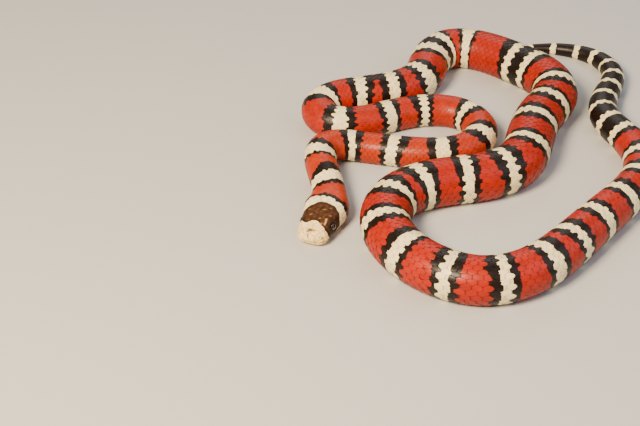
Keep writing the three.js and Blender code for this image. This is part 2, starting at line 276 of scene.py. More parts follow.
pattern = {
    # Edges on the head and neck as (turn, place), from the animal's right over its back
    "capFront": [
        (-1, 8.6), (-0.85, 7.4), (-0.6, 6.6), (-0.38, 6.1), (-0.23, 5.3), (-0.11, 4.9), (0, 6.3),
        (0.06, 5.9), (0.14, 4.8), (0.32, 4.1), (0.49, 4.1), (0.61, 4.6), (0.74, 5.6), (1, 8.6),
    ],
    "capRear": [
        (-1, 8.6), (-0.85, 9.6), (-0.6, 10), (-0.42, 11.2), (-0.27, 11.8), (-0.15, 12.9), (0, 14.9),
        (0.07, 14.6), (0.17, 14.2), (0.37, 12.8), (0.62, 11.3), (0.74, 10.7), (0.85, 9.9), (1, 8.6),
    ],
    "collarRear": [
        (-1.226, 14.4), (-0.7, 14), (-0.53, 14.2), (-0.47, 15.5), (-0.2, 17.2), (0, 17.9),
        (0.07, 17.2), (0.18, 16.6), (0.43, 16), (0.7, 15.8), (0.77, 14.8), (1.226, 14.4),
    ],
    # Small marks on the head as (place, turn, place, turn, half width, colour)
    "marks": [
        (1.8, -0.06, 2.6, -0.01, 0.52, "fleck"), (2.7, -0.02, 2.5, 0.05, 0.36, "fleck"),
        (0.5, -0.06, 0.9, -0.05, 0.46, "fleck"), (1.3, 0.33, 1.5, 0.34, 0.24, "fleck"),
        (5.6, 0.21, 8, 0.17, 0.24, "tan"), (5.2, 0.1, 5.6, 0.12, 0.22, "tan"),
        (9.7, 0.2, 10, 0.23, 0.18, "tanSpot"), (8.2, -0.12, 8.8, -0.09, 0.17, "tanSpot"),
        (11.5, 0.03, 11.8, 0.05, 0.15, "tanSpot"), (10.6, -0.2, 10.8, -0.17, 0.16, "tanSpot"),
        (12.6, 0.14, 12.8, 0.13, 0.14, "tanSpot"), (7.4, 0.03, 7.8, 0.05, 0.15, "tanSpot"),
    ],
    "turnLength": 8,  # mm that a turn of one takes on the snout, near enough
    "mostOverlay": 0.9,  # the share that marks and the painted shade of the hollows take at most
    # Cream rings as (middle, width, black before it, black behind it, more of each on the back, lean)
    "rings": [
        (29.9, 4.5, 1.9, 1.4, 0.1, 3.2, 1.2), (45.3, 4.6, 1.7, 2.2, 0.2, 1.6, -1.2),
        (64.8, 3, 2.1, 2.1, 0.9, 1, 0),
        (184, 3.8, 2.1, 2.1, 1, 1.5, 0.4), (201.5, 5, 2.2, 2.2, 1.2, 1.2, 0),
        (218, 3.9, 2.1, 2.1, 1, 1.6, -0.4),
        (243, 4, 2.1, 2.1, 1, 1, 0.3), (259.6, 4.6, 2.1, 2, 0.8, 1, 0),
        (268.6, 3.8, 2, 1.9, 1, 0.2, 0), (281.6, 4.4, 1.6, 1.3, 0.8, 0.4, 0),
        (304.5, 3.4, 1.9, 2.1, 3, 0.6, 0.3), (313.5, 3.4, 2.1, 2, 0.6, 1.2, -0.3),
    ],
    "closeRings": (259, 305),  # no other rings are set between these places
    "ventRing": (3.4, 2.1, 2.1, 1, 1, 0),  # the same for the ring on the vent, but for its middle
    "spacing": 15.9,
    "tailSpacing": 9.4,
    "pastTip": 5,  # mm beyond the tail's tip, as far as rings are spread
    # Lowest and highest draws for a ring not listed: its shift in spacings, its width on the
    # body and the tail, its black, what more of that lies on the back, and its lean
    "shift": (-0.09, 0.09),
    "width": (3.1, 4.3),
    "tailWidth": (2.2, 2.8),
    "black": (1.7, 2.3),
    "peak": (0.4, 2.4),
    "lean": (-0.7, 0.7),
    "seed": 11,
    "collarBlack": 1.9,
    "capJoin": 0.1,  # mm, so that no dark line is left where the cap's two edges meet
    "leastRed": 1.6,  # narrower gaps between two black rings are black
    "waves": ((0.16, 9, 2.1), (0.1, 23, -1.3)),  # of every edge: (mm, per turn, per mm)
    "backWidth": 0.34,  # in turns, of the stretch where black is wider
    "headPart": 22,  # the place behind which cream follows the rings, and no longer the cap
    "bellyFade": (0.9, 1.05),  # turns between which red pales to the belly's
    "redFade": (40, 240),  # places between which red deepens to that of the back
    "mottleFade": (0.1, 1.6),  # mm inside the cap between which its mottling sets in
    "mottleWidth": 0.42,  # in turns
    "headFade": (-0.6, 0.2),  # mm behind the cap between which the head's tints end
    "edgeLevel": 0.5,  # what the edge layer holds at an edge
    "edgePerMm": 0.1,  # and how much more for each millimetre inside it
}


# The cream rings of the whole body: those listed, with evenly spread ones in every gap
# between them, each moved a little by a seeded draw.
def allRings():
    draw = np.random.default_rng(pattern["seed"])
    found = list(pattern["rings"])
    anchors = [ring[0] for ring in found] + [ventPlace, snakeLength + pattern["pastTip"]]
    first, last = pattern["closeRings"]
    for start, end in zip(anchors[:-1], anchors[1:]):
        onTail = start >= ventPlace
        count = int(round((end - start) / pattern["tailSpacing" if onTail else "spacing"]))
        if first < start < last:
            count = 1
        for i in range(1, count):
            middle = start + (end - start) * (i + draw.uniform(*pattern["shift"])) / count
            width = draw.uniform(*pattern["tailWidth" if onTail else "width"])
            black = draw.uniform(*pattern["black"], 2)
            peaks = draw.uniform(*pattern["peak"], 2)
            found.append((middle, width, *black, *peaks, draw.uniform(*pattern["lean"])))
    found.append((ventPlace, *pattern["ventRing"]))
    return np.array(sorted(found))


rings = allRings()


# The pattern at a place and turn, as two layers of four numbers. The ground layer is the colour
# under the rings, and how mottled the cap is. The edge layer says how far inside cream and inside
# black the point lies, how much it belongs to the head, and its tone, which the skin and the scales
# later set to carry painted shade. On the head that is measured from the edges of the cap and the
# collar. Behind it, it is measured from the middle of the nearest ring, which a sine of the turn
# leans, and a bell of the turn widens black on the back.
def patternAt(place, turn):
    turn = foldTurn(turn)
    here = place + sum(
        size * np.sin(perTurn * turn + perMm * place) for size, perTurn, perMm in pattern["waves"]
    )
    between = (rings[1:, 0] + rings[:-1, 0]) / 2
    nearest = rings[np.searchsorted(between, place)]
    back = bell(turn / pattern["backWidth"])
    lean = nearest[..., 6] * np.sin(np.pi * turn / bellyMiddle)
    off = here - nearest[..., 0] - lean
    behind = (off > 0).astype(int)[..., None]
    black = np.take_along_axis(nearest[..., 2:4], behind, axis=-1)[..., 0]
    black = black + back * np.take_along_axis(nearest[..., 4:6], behind, axis=-1)[..., 0]
    gap = np.abs(off) - nearest[..., 1] / 2
    number = np.clip(np.searchsorted(rings[:, 0], place), 1, len(rings) - 1)
    before, after = rings[number - 1], rings[number]
    free = after[..., 0] - before[..., 0] - (after[..., 1] + before[..., 1]) / 2
    free = free - before[..., 3] - after[..., 2] - (before[..., 5] + after[..., 4]) * back
    dark = np.maximum(black - gap, pattern["leastRed"] - free)
    dark = np.maximum(dark, place - ventPlace)
    capFront, capRear, collarRear = (
        np.interp(turn, *np.array(pattern[name]).T) for name in ("capFront", "capRear", "collarRear")
    )
    dark = np.maximum(dark, collarRear + pattern["collarBlack"] - here)
    light = np.maximum(capFront - here, np.minimum(here - capRear, collarRear - here))
    light = np.maximum(light, capFront - capRear + pattern["capJoin"])
    light = np.where(place < pattern["headPart"], light, -gap)
    onBelly = ramp(*pattern["bellyFade"], np.abs(turn))[..., None]
    farBack = ramp(*pattern["redFade"], place)[..., None]
    red = paint["red"] * (1 - farBack) + paint["redBack"] * farBack
    red = red * (1 - onBelly) + paint["redBelly"] * onBelly
    inCap = np.minimum(here - capFront, capRear - here)
    mottle = ramp(*pattern["mottleFade"], inCap) * bell(turn / pattern["mottleWidth"])
    onHead = 1 - ramp(*pattern["headFade"], here - capRear)
    ground = np.concatenate([red, mottle[..., None]], axis=-1)
    inside = pattern["edgeLevel"] + pattern["edgePerMm"] * np.stack([light, dark], axis=-1)
    inside = np.clip(inside, 0, 1)
    edge = np.concatenate([inside, onHead[..., None], np.ones_like(red[..., :1])], axis=-1)
    return ground, edge


# The marks and the painted shade of the hollows as one layer laid over the rest: its colour times its
# share, and its share. A mark's share is a squared bell of the distance from the line between its
# ends.
def overlayAt(place, turn, dark):
    overlay = np.zeros((len(place), 4))
    most, stretch = pattern["mostOverlay"], pattern["turnLength"]
    # The first share is the painted shade of the hollows, in the colour nostril
    shares = [(most * dark, paint["nostril"])]
    for place1, turn1, place2, turn2, width, name in pattern["marks"]:
        run = np.array([place2 - place1, stretch * (turn2 - turn1)])
        off = np.stack([place - place1, stretch * (foldTurn(turn) - turn1)], axis=-1)
        reach = np.clip(off @ run / (run @ run), 0, 1)
        distance = np.linalg.norm(off - reach[..., None] * run, axis=-1)
        shares.insert(0, (most * bell(distance / width) ** 2, paint[name]))
    for share, colour in shares:
        overlay = overlay * (1 - share[:, None])
        overlay = overlay + share[:, None] * np.array([*colour, 1])
    return overlay


# Materials

# Adds a node with its settings. Each input gets a value, or a link from another node's output.
def addNode(tree, kind, settings=None, inputs=None):
    node = tree.nodes.new(kind)
    for name, value in (settings or {}).items():
        setattr(node, name, value)
    for socket, value in (inputs or {}).items():
        if isinstance(value, bpy.types.NodeSocket):
            tree.links.new(value, node.inputs[socket])
        else:
            node.inputs[socket].default_value = value
    return node


def newMaterial(name):  # with an empty tree of nodes but for the object's coordinates
    material = bpy.data.materials.new(name)
    material.use_nodes = True
    tree = material.node_tree
    tree.nodes.clear()
    return material, tree, addNode(tree, "ShaderNodeTexCoord").outputs["Object"]


def perMetre(size):  # a noise's scale from the size of its lumps in millimetres
    return 1 / (size * metresPerMm)


noiseMiddle = (0.3, 0.7)  # nearly all values of a noise lie between these
mapSockets = ("Value", "From Min", "From Max", "To Min", "To Max")

keratinLook = {
    # Noises as (mm, detail, roughness): the fine unevenness of a scale's surface, drawn coarser than
    # life so that it shows, the slow change of tone over a few scales, and the flecks of the cap
    "grain": (0.25, 2, 0.5),
    "cloud": (2.6, 3, 0.6),
    "mottle": (1.1, 4, 0.65),
    "roughness": (0.36, 0.5),  # lowest and highest over the grain
    "tone": (0.84, 1.1),  # darkest and lightest over the clouds
    # The share of tan on the snout and the cap, as (mottle from, to, share from, to)
    "snoutTan": (0.5, 0.75, 0, 0.5),
    "capTan": (0.42, 0.7, 0.05, 0.8),
    "edgeBlur": 0.004,  # half the stretch of the edge layer in which a colour changes
    "bump": (0.12, 0.06),  # strength, and height in mm
    "ior": 1.5,
    "mirror": 0.28,  # strength of the reflection, 0.5 for plain keratin
    "clear": (0.06, 0.15),  # weight and roughness of the clear outer layer
}


# Smooth keratin over pigment cells: satin, with a thin clear outer layer that catches the light.
# A colour changes within a tenth of a millimetre, where the edge layer passes its level.
def scaleMaterial(name, look):
    material, tree, spot = newMaterial(name)
    ground, edge, overlay = (
        addNode(tree, "ShaderNodeAttribute", {"attribute_name": layer}).outputs
        for layer in ("ground", "edge", "overlay")
    )
    inside = addNode(tree, "ShaderNodeSeparateXYZ", inputs={0: edge["Vector"]}).outputs
    noise = {}
    for key in ("grain", "cloud", "mottle"):
        size, detail, rough = look[key]
        inputs = {"Vector": spot, "Scale": perMetre(size), "Detail": detail, "Roughness": rough}
        noise[key] = addNode(tree, "ShaderNodeTexNoise", inputs=inputs).outputs["Fac"]
    level, blur = pattern["edgeLevel"], look["edgeBlur"]
    spans = {
        "light": (inside["X"], level - blur, level + blur, 0, 1),
        "dark": (inside["Y"], level - blur, level + blur, 0, 1),
        "snoutTan": (noise["mottle"], *look["snoutTan"]),
        "capTan": (noise["mottle"], *look["capTan"]),
        "tone": (noise["cloud"], *noiseMiddle, *look["tone"]),
        "roughness": (noise["grain"], *noiseMiddle, *look["roughness"]),
    }
    mapped = {
        key: addNode(tree, "ShaderNodeMapRange", inputs=dict(zip(mapSockets, span))).outputs["Result"]
        for key, span in spans.items()
    }
    # The tone is the clouds' times the edge layer's fourth number, which holds painted shade on the
    # skin and on the scales' low parts
    flecks, tone = (
        addNode(tree, "ShaderNodeMath", {"operation": "MULTIPLY"}, {0: first, 1: second}).outputs[0]
        for first, second in ((mapped["capTan"], ground["Alpha"]), (mapped["tone"], edge["Alpha"]))
    )
    shades = {key: (*colour, 1) for key, colour in paint.items()}
    shades["ground"] = ground["Color"]
    # Each of these is mixed from two others, as (name, share of the second, first, second)
    for key, share, first, second in (
        ("plainDark", inside["Z"], "black", "cap"),
        ("fleckedDark", flecks, "plainDark", "capFleck"),
        ("cloudedSnout", mapped["snoutTan"], "snout", "tan"),
        ("pale", inside["Z"], "cream", "cloudedSnout"),
        ("darkened", mapped["dark"], "ground", "fleckedDark"),
        ("ringed", mapped["light"], "darkened", "pale"),
    ):
        mix = addNode(
            tree, "ShaderNodeMix", {"data_type": "RGBA"},
            {"Factor": share, 6: shades[first], 7: shades[second]},  # 6 and 7 are its two colours
        )
        shades[key] = mix.outputs[2]
    # The overlay's marks and painted shade of the hollows cover the colour by their share
    uncovered = addNode(
        tree, "ShaderNodeMath", {"operation": "SUBTRACT"}, {0: 1, 1: overlay["Alpha"]}
    )
    under = shades["ringed"]
    for factor in (tone, uncovered.outputs[0]):
        under = addNode(
            tree, "ShaderNodeVectorMath", {"operation": "SCALE"}, {0: under, "Scale": factor}
        ).outputs[0]
    whole = addNode(
        tree, "ShaderNodeVectorMath", {"operation": "ADD"}, {0: under, 1: overlay["Vector"]}
    )
    strength, height = look["bump"]
    bump = addNode(tree, "ShaderNodeBump", inputs={
        "Strength": strength, "Distance": height * metresPerMm, "Height": noise["grain"],
    })
    weight, clearRoughness = look["clear"]
    shader = addNode(tree, "ShaderNodeBsdfPrincipled", inputs={
        "Base Color": whole.outputs[0], "Roughness": mapped["roughness"], "IOR": look["ior"],
        "Specular IOR Level": look["mirror"], "Normal": bump.outputs["Normal"],
        "Coat Weight": weight, "Coat Roughness": clearRoughness,
    })
    addNode(tree, "ShaderNodeOutputMaterial", inputs={"Surface": shader.outputs["BSDF"]})
    return material


headKeratin = scaleMaterial("headShieldKeratin", {**keratinLook, "roughness": (0.4, 0.54)})
bodyKeratin = scaleMaterial("smoothScaleKeratin", keratinLook)
bellyKeratin = scaleMaterial("bellyScuteKeratin", {**keratinLook, "roughness": (0.28, 0.4)})

eyeLook = {
    "streaks": (0.4, 2),  # mm and detail of the streaks in the iris
    "tone": (0.85, 1.15),
    "roughness": 0.12,
    "ior": 1.45,
    "clear": (1, 0.03),
}


# Wet-looking clear scale over a dark iris: a mirror-like outer layer over deep brown
def eyeMaterial():
    material, tree, spot = newMaterial("clearEyeScale")
    painted = addNode(tree, "ShaderNodeAttribute", {"attribute_name": "iris"})
    size, detail = eyeLook["streaks"]
    streaks = addNode(tree, "ShaderNodeTexNoise", inputs={
        "Vector": spot, "Scale": perMetre(size), "Detail": detail,
    })
    span = (streaks.outputs["Fac"], *noiseMiddle, *eyeLook["tone"])
    tone = addNode(tree, "ShaderNodeMapRange", inputs=dict(zip(mapSockets, span)))
    toned = addNode(
        tree, "ShaderNodeVectorMath", {"operation": "SCALE"},
        {0: painted.outputs["Color"], "Scale": tone.outputs["Result"]},
    )
    weight, clearRoughness = eyeLook["clear"]
    shader = addNode(tree, "ShaderNodeBsdfPrincipled", inputs={
        "Base Color": toned.outputs[0], "Roughness": eyeLook["roughness"], "IOR": eyeLook["ior"],
        "Coat Weight": weight, "Coat Roughness": clearRoughness,
    })
    addNode(tree, "ShaderNodeOutputMaterial", inputs={"Surface": shader.outputs["BSDF"]})
    return material


# The head's landmarks

# Each shade below is the share of painted shade that darkens that hollow
head = {
    "eye": {
        "place": 8.4, "height": 4.95, "radius": 1.4, "depth": 1.05, "sunk": 0.75, "pupil": 0.62,
        "pupilEdge": 0.08, "limb": (1, 1.35), "rings": 28, "around": 48,
    },
    "socket": {
        "rim": 2.1, "lip": 1.45, "dip": 0.38, "wall": 0.9, "wallSpan": (1.3, 1.42), "shade": 0.6,
        "shadeSpan": (1.4, 1.75), "groovesFrom": (1.5, 2.3), "reach": 4,
    },
    "nostril": {"place": 2, "height": 4, "radius": 0.34, "depth": 0.42, "shade": 0.95},
    "mouth": {
        "height": 2.3, "end": 17.2, "rise": 0.9, "riseFrom": 10, "width": 0.17, "depth": 0.4,
        "shade": 0.85, "endFade": 1.5, "sideFade": (0.9, 1.6), "tipFade": (0.6, 0.1), "tipReach": 2.2,
    },
    "groove": {
        "width": 0.15, "depth": 0.15, "shade": 0.4, "fade": (15.5, 18.5), "pillowDepth": 0.05,
        "pillowWidth": 0.5,
    },
    "skinInset": 0.06,
}

# Shields by the points at their hearts. On top and below: (place, distance from the middle).
# On the sides: (place, height over the floor). Those on the middle line are one shield, not two,
# and in a row each point is a shield of its own.
middleShields = ("rostral", "frontal", "mental")
shieldRows = ("upperLips", "lowerLips", "gulars")
shields = {
    "top": {
        "rostral": [(0.1, 0), (0.35, 0.8), (0.6, 0)],
        "internasal": [(1.9, 1.2)],
        "prefrontal": [(4, 1.3), (4.5, 2.8)],
        "frontal": [(6.5, 0), (7.6, 0), (8.7, 0), (9.6, 0)],
        "supraocular": [(7.2, 3), (8.4, 3.1), (9.6, 3)],
        "parietal": [(11.2, 1.7), (12.4, 2.1), (13.6, 2), (14.7, 1.6)],
        "nape": [(16.2, 0.9)],
        "napeSide": [(15.6, 3.3)],
    },
    "side": {
        "frontNasal": [(1.1, 4.1)],
        "rearNasal": [(2.9, 4.3)],
        "loreal": [(4.6, 4.5)],
        "preocular": [(6.1, 5.4), (6.2, 4.6)],
        "upperPostocular": [(10.5, 6)],
        "lowerPostocular": [(10.6, 4.9)],
        "upperTemporal": [(12.6, 6.3)],
        "lowerTemporal": [(12.6, 4.9)],
        "rearTemporal": [(14.6, 6.9)],
        "lowRearTemporal": [(14.8, 5.4)],
        "upperLips": [
            (1.2, 2.95), (3, 3.1), (4.9, 3.2), (6.9, 3.2), (9, 3.2), (11.5, 3.5), (14.2, 3.9),
        ],
        "cheek": [(16.6, 4.4)],
        "lowerLips": [
            (1.4, 1.7), (2.8, 1.4), (4.5, 1.3), (6.4, 1.3), (8.5, 1.4), (10.8, 1.5), (13.2, 1.7),
            (15.6, 2),
        ],
    },
    "under": {
        "mental": [(0.5, 0)],
        "frontChin": [(3.6, 1.1), (5, 1.2)],
        "rearChin": [(7.2, 1), (8.6, 1.1)],
        "gulars": [
            (8.6, 2.7), (10.6, 1), (10.8, 2.8), (12.5, 1.9), (12.6, 0), (12.9, 3.7), (14.4, 1),
            (14.5, 2.9), (16.2, 1.9), (16.2, 0),
        ],
    },
}
shieldSpans = {"top": (0, 0.45), "side": (0.1, 0.98), "under": (0.95, bellyMiddle)}  # in turns


def straightPoint(place, turn, inset):  # in the straightened snake: along, side, up
    return np.stack(outlineAt(place, turn, inset), axis=-1)


# The turn on the animal's left where the outline has the wanted side or height, looked up among
# many small steps of the turn
def turnFor(kind, place, wanted, steps=400):
    turns = np.linspace(*shieldSpans[kind], steps)
    at, side, up = outlineAt(np.full(steps, float(place)), turns, 0.0)
    measure = up if kind == "side" else np.abs(side)
    order = np.argsort(measure)
    return np.interp(wanted, measure[order], turns[order])


# Seeds of all shields on both sides, with a label for each. A point on the middle line has one.
def shieldSeeds():
    seeds, labels = [], []
    for kind, group in shields.items():
        for name, hearts in group.items():
            for number, (place, wanted) in enumerate(hearts):
                turn = turnFor(kind, place, wanted)
                shield = f"{name} {number}" if name in shieldRows else name
                middle = wanted == 0 or name in middleShields
                for sign in (1, -1):
                    seeds.append(straightPoint(np.array(float(place)), np.array(sign * turn), 0.0))
                    labels.append(shield if middle else f"{shield} {sign}")
    names = sorted(set(labels))
    return np.array(seeds), np.array([names.index(label) for label in labels])


# Distance of each point to the border of its shield: the shield is all that lies nearer to one of
# its own seeds than to any other's, so the border is the plane halfway between the two nearest.
def borderDistance(points, leastGap=0.01):
    seeds, labels = shieldSeeds()
    squares = ((points[:, None, :] - seeds[None]) ** 2).sum(axis=-1)
    own = squares.argmin(axis=1)
    foreign = np.where(labels[None] == labels[own][:, None], np.inf, squares)
    other = foreign.argmin(axis=1)
    rows = np.arange(len(points))
    between = np.linalg.norm(seeds[own] - seeds[other], axis=-1)
    return (squares[rows, other] - squares[rows, own]) / (2 * np.maximum(between, leastGap))


def mouthHeight(place):  # level, then rising smoothly to the corner of the mouth
    mouth = head["mouth"]
    return mouth["height"] + mouth["rise"] * ramp(mouth["riseFrom"], mouth["end"], place)


# Middle of the eye on the skin, and the way it faces: the cross of two steps on the skin
def eyeSeat(sign, placeStep=0.05, turnStep=0.0125):
    eye = head["eye"]
    turn = sign * turnFor("side", eye["place"], eye["height"])
    places = eye["place"] + placeStep * np.array([0, 1, -1, 0, 0])
    turns = turn + turnStep * np.array([0, 0, 0, 1, -1])
    at = straightPoint(places, turns, head["skinInset"])
    facing = np.cross(at[3] - at[4], at[1] - at[2])
    return at[0], facing / np.linalg.norm(facing)


# How deep each point of the head lies under the smooth head, and how much painted shade darkens the
# hollows. Bells of the distance make the grooves along the shields' borders, the line of the mouth
# and the nostrils, and smooth steps of it make the dip and the hollow round each eye.
def headRelief(place, turn):
    points = straightPoint(place, turn, head["skinInset"])
    groove, mouth, nostril, socket = (
        head[name] for name in ("groove", "mouth", "nostril", "socket")
    )
    strength = 1 - ramp(*groove["fade"], place)
    border = borderDistance(points)
    seam = bell(border / groove["width"]) * strength
    pillow = groove["pillowDepth"] * strength * np.exp(-border / groove["pillowWidth"])
    deep = groove["depth"] * seam + pillow
    # dark is painted shade: in the grooves here, then in the mouth line, the nostrils and round the
    # eyes
    dark = groove["shade"] * seam
    inMouth = bell((points[:, 2] - mouthHeight(place)) / mouth["width"])
    inMouth = inMouth * (1 - ramp(mouth["end"] - mouth["endFade"], mouth["end"], place))
    tip = mouth["tipReach"] * ramp(*mouth["tipFade"], place)
    inMouth = inMouth * ramp(*mouth["sideFade"], np.abs(points[:, 1]) + tip)
    deep = deep + mouth["depth"] * inMouth
    dark = np.maximum(dark, mouth["shade"] * inMouth)
    for sign in (1, -1):
        pit = straightPoint(
            np.array(float(nostril["place"])),
            np.array(sign * turnFor("side", nostril["place"], nostril["height"])),
            head["skinInset"],
        )
        inPit = bell(np.linalg.norm(points - pit, axis=-1) / nostril["radius"])
        deep = deep + nostril["depth"] * inPit
        dark = np.maximum(dark, nostril["shade"] * inPit)
        seat, facing = eyeSeat(sign)
        away = points - seat
        off = away @ facing
        distance = np.linalg.norm(away - off[:, None] * facing, axis=-1)
        near = np.linalg.norm(away, axis=-1) < socket["reach"]
        dip = socket["dip"] * (1 - ramp(socket["lip"], socket["rim"], distance))
        wall = socket["wall"] * (1 - ramp(*socket["wallSpan"], distance))
        shade = socket["shade"] * (1 - ramp(*socket["shadeSpan"], distance))
        deep = np.where(near, deep * ramp(*socket["groovesFrom"], distance) + dip + wall, deep)
        dark = np.where(near, np.maximum(dark, shade), dark)
    return deep, dark


# The skin

skinLook = {
    "around": 288,  # points round the head, a multiple of four
    "headEnd": 20,
    "headStep": 0.1,
    "bodyStep": 1.42,
    "noseRings": 22,
    "tipRings": 6,
    "denser": ((2, 0.7, 0.07), (0.8, 0.5, 0.12)),  # points, as (how much denser, turn, width)
    "tone": 0.7,  # of the body's skin: painted shade where it shows between the scales, darker than they are
    "coatDepth": 0.024,  # the thickness of the coat of scales, per half width of the body
    "coatStart": (16, 17.8),  # places between which the skin sinks under the coat
    "napeEarlier": 1.7,  # mm by which it does so further forward on the nape
    "napeTurns": (0.4, 0.6),  # turns between which that gives way to the cheeks
}


def scaleDepth(place):  # thickness of the coat, a share of the half width
    return skinLook["coatDepth"] * valueAt(girth["halfWidths"], place)


# The bare head shows its skin, and the coat lies on the rest: a smooth step from one to the other
def skinInsetAt(place, turn):
    onNape = 1 - ramp(*skinLook["napeTurns"], np.abs(foldTurn(turn)))
    covered = ramp(*skinLook["coatStart"], place + skinLook["napeEarlier"] * onNape)
    return head["skinInset"] * (1 - covered) + scaleDepth(place) * covered


# Turns of the points round a ring, closer together at the mouth and round the eyes: the inverse
# of a running sum of the wanted density.
def ringTurns(count, steps=4000):
    fine = np.linspace(-bellyMiddle, bellyMiddle, steps)
    density = np.ones(steps)
    for more, turn, width in skinLook["denser"]:
        density = density + more * bell((np.abs(fine) - turn) / width)
    total = np.r_[0, np.cumsum((density[1:] + density[:-1]) / 2)]
    return np.interp(np.arange(count) / count, total / total[-1], fine)


# Quads between rows of a closed grid, each row a ring of the same count
def ringQuads(rows, count, first):
    row, column = gridOf(np.arange(rows - 1), np.arange(count))
    a = first + row * count + column
    b = first + row * count + (column + 1) % count
    return facesOf(a, b, b + count, a + count)


# One closed skin: a fan at the nose, fine rings over the head, one row where every fourth point
# goes on, coarser rings over the body, and a fan at the tip of the tail.
def makeSkin(look):
    around = look["around"]
    coarse = around // 4
    inset = head["skinInset"]
    nose, tail = girth["nose"], girth["tail"]
    noseBends = np.arange(1, look["noseRings"] + 1) / look["noseRings"] * np.pi / 2
    nosePlaces = inset + nose["length"] * (1 - np.cos(noseBends))
    rest = np.arange(nosePlaces[-1] + look["headStep"], look["headEnd"], look["headStep"])
    headPlaces = np.r_[nosePlaces, rest]
    bodyEnd = snakeLength - tail["length"]
    steps = int((bodyEnd - headPlaces[-1]) / look["bodyStep"])
    bodyPlaces = np.linspace(headPlaces[-1], bodyEnd, steps + 1)[1:]
    tipBends = np.arange(1, look["tipRings"]) / look["tipRings"] * np.pi / 2
    bodyPlaces = np.r_[bodyPlaces, bodyEnd + tail["length"] * np.sin(tipBends)]
    turns = ringTurns(around)
    headGrid, bodyGrid = gridOf(headPlaces, turns), gridOf(bodyPlaces, turns[::4])
    place, turn = (np.concatenate(both) for both in zip(headGrid, bodyGrid))
    bodyFirst, noseTip, tailTip = len(headGrid[0]), len(place), len(place) + 1
    deep, dark = headRelief(*headGrid)
    insets = skinInsetAt(place, turn)
    insets[:bodyFirst] += deep
    ends = np.array([inset, snakeLength])
    points = np.concatenate([
        pointAt(place, turn, insets),
        inSpace(ends, np.zeros(2), np.array([nose["height"], tail["height"]])),
    ])
    ground, edge = patternAt(np.r_[place, ends], np.r_[turn, 0, 0])
    # The body's skin gets painted shade in its tone
    edge[bodyFirst:noseTip, 3] = look["tone"]
    # The overlay holds the head's marks and the painted shade of its hollows
    overlay = np.zeros_like(edge)
    overlay[:bodyFirst] = overlayAt(*headGrid, dark)
    layers = {"ground": ground, "edge": edge, "overlay": overlay}
    ring = np.arange(around)
    small = np.arange(coarse)
    lastHead = bodyFirst - around
    lastBody = noseTip - coarse
    fans = np.concatenate([
        facesOf(noseTip, (ring + 1) % around, ring),
        facesOf(tailTip, lastBody + small, lastBody + (small + 1) % coarse),
    ])
    fine = [lastHead + (4 * small + i) % around for i in range(5)]
    here = bodyFirst + small
    there = bodyFirst + (small + 1) % coarse
    joins = np.concatenate([
        facesOf(fine[0], fine[1], here),
        facesOf(fine[1], fine[2], here),
        facesOf(fine[2], there, here),
        facesOf(fine[2], fine[3], there),
        facesOf(fine[3], fine[4], there),
    ])
    blocks = [
        (ringQuads(len(headPlaces), around, 0), True),
        (ringQuads(len(bodyPlaces), coarse, bodyFirst), True),
        (fans, True),
        (joins, True),
    ]
    piece = makePiece("skin", points, blocks, layers, headKeratin)
    flesh = [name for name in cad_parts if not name.startswith("eye")]
    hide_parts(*flesh)


makeSkin(skinLook)


# An eye: a sphere flattened along the way it faces, sunk so that a low dome shows. The pupil is
# round, and the iris is a little lighter up to its dark rim.
def makeEye(sign, name, socket, material):
    eye = head["eye"]
    seat, facing = eyeSeat(sign)
    rows, around = eye["rings"], eye["around"]
    tilt, turn = gridOf(np.arange(1, rows) / rows * np.pi, np.arange(around) / around * 2 * np.pi)
    tilt = np.r_[0, tilt, np.pi]
    turn = np.r_[0, turn, 0]
    forward = np.cross([0, 0, 1.0], facing)
    forward = forward / np.linalg.norm(forward)
    upward = np.cross(facing, forward)
    centre = seat - eye["sunk"] * facing
    across = eye["radius"] * np.sin(tilt)
    points = (
        centre
        + np.outer(eye["depth"] * np.cos(tilt), facing)
        + np.outer(across * np.cos(turn), forward)
        + np.outer(across * np.sin(turn), upward)
    )
    points = inSpace(*points.T)
    ring = np.arange(around)
    last = 1 + (rows - 2) * around
    blocks = [
        (facesOf(0, 1 + ring, 1 + (ring + 1) % around), True),
        (ringQuads(rows - 1, around, 1)[:, ::-1], True),
        (facesOf(last + around, last + (ring + 1) % around, last + ring), True),
    ]
    edge = ramp(eye["pupil"], eye["pupil"] + eye["pupilEdge"], across)[:, None]
    limb = ramp(*eye["limb"], across)[:, None]
    tone = paint["pupil"] * (1 - edge) + paint["iris"] * edge
    tone = tone * (1 - limb) + paint["pupil"] * limb
    shades = np.concatenate([tone, np.zeros((len(tone), 1))], axis=-1)
    piece = makePiece(name, points, blocks, {"iris": shades}, material)
    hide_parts(socket)


clearEye = eyeMaterial()
makeEye(1, "left_eye", "eye_left", clearEye)
makeEye(-1, "right_eye", "eye_right", clearEye)


# Scales and scutes, each a closed shell over the skin

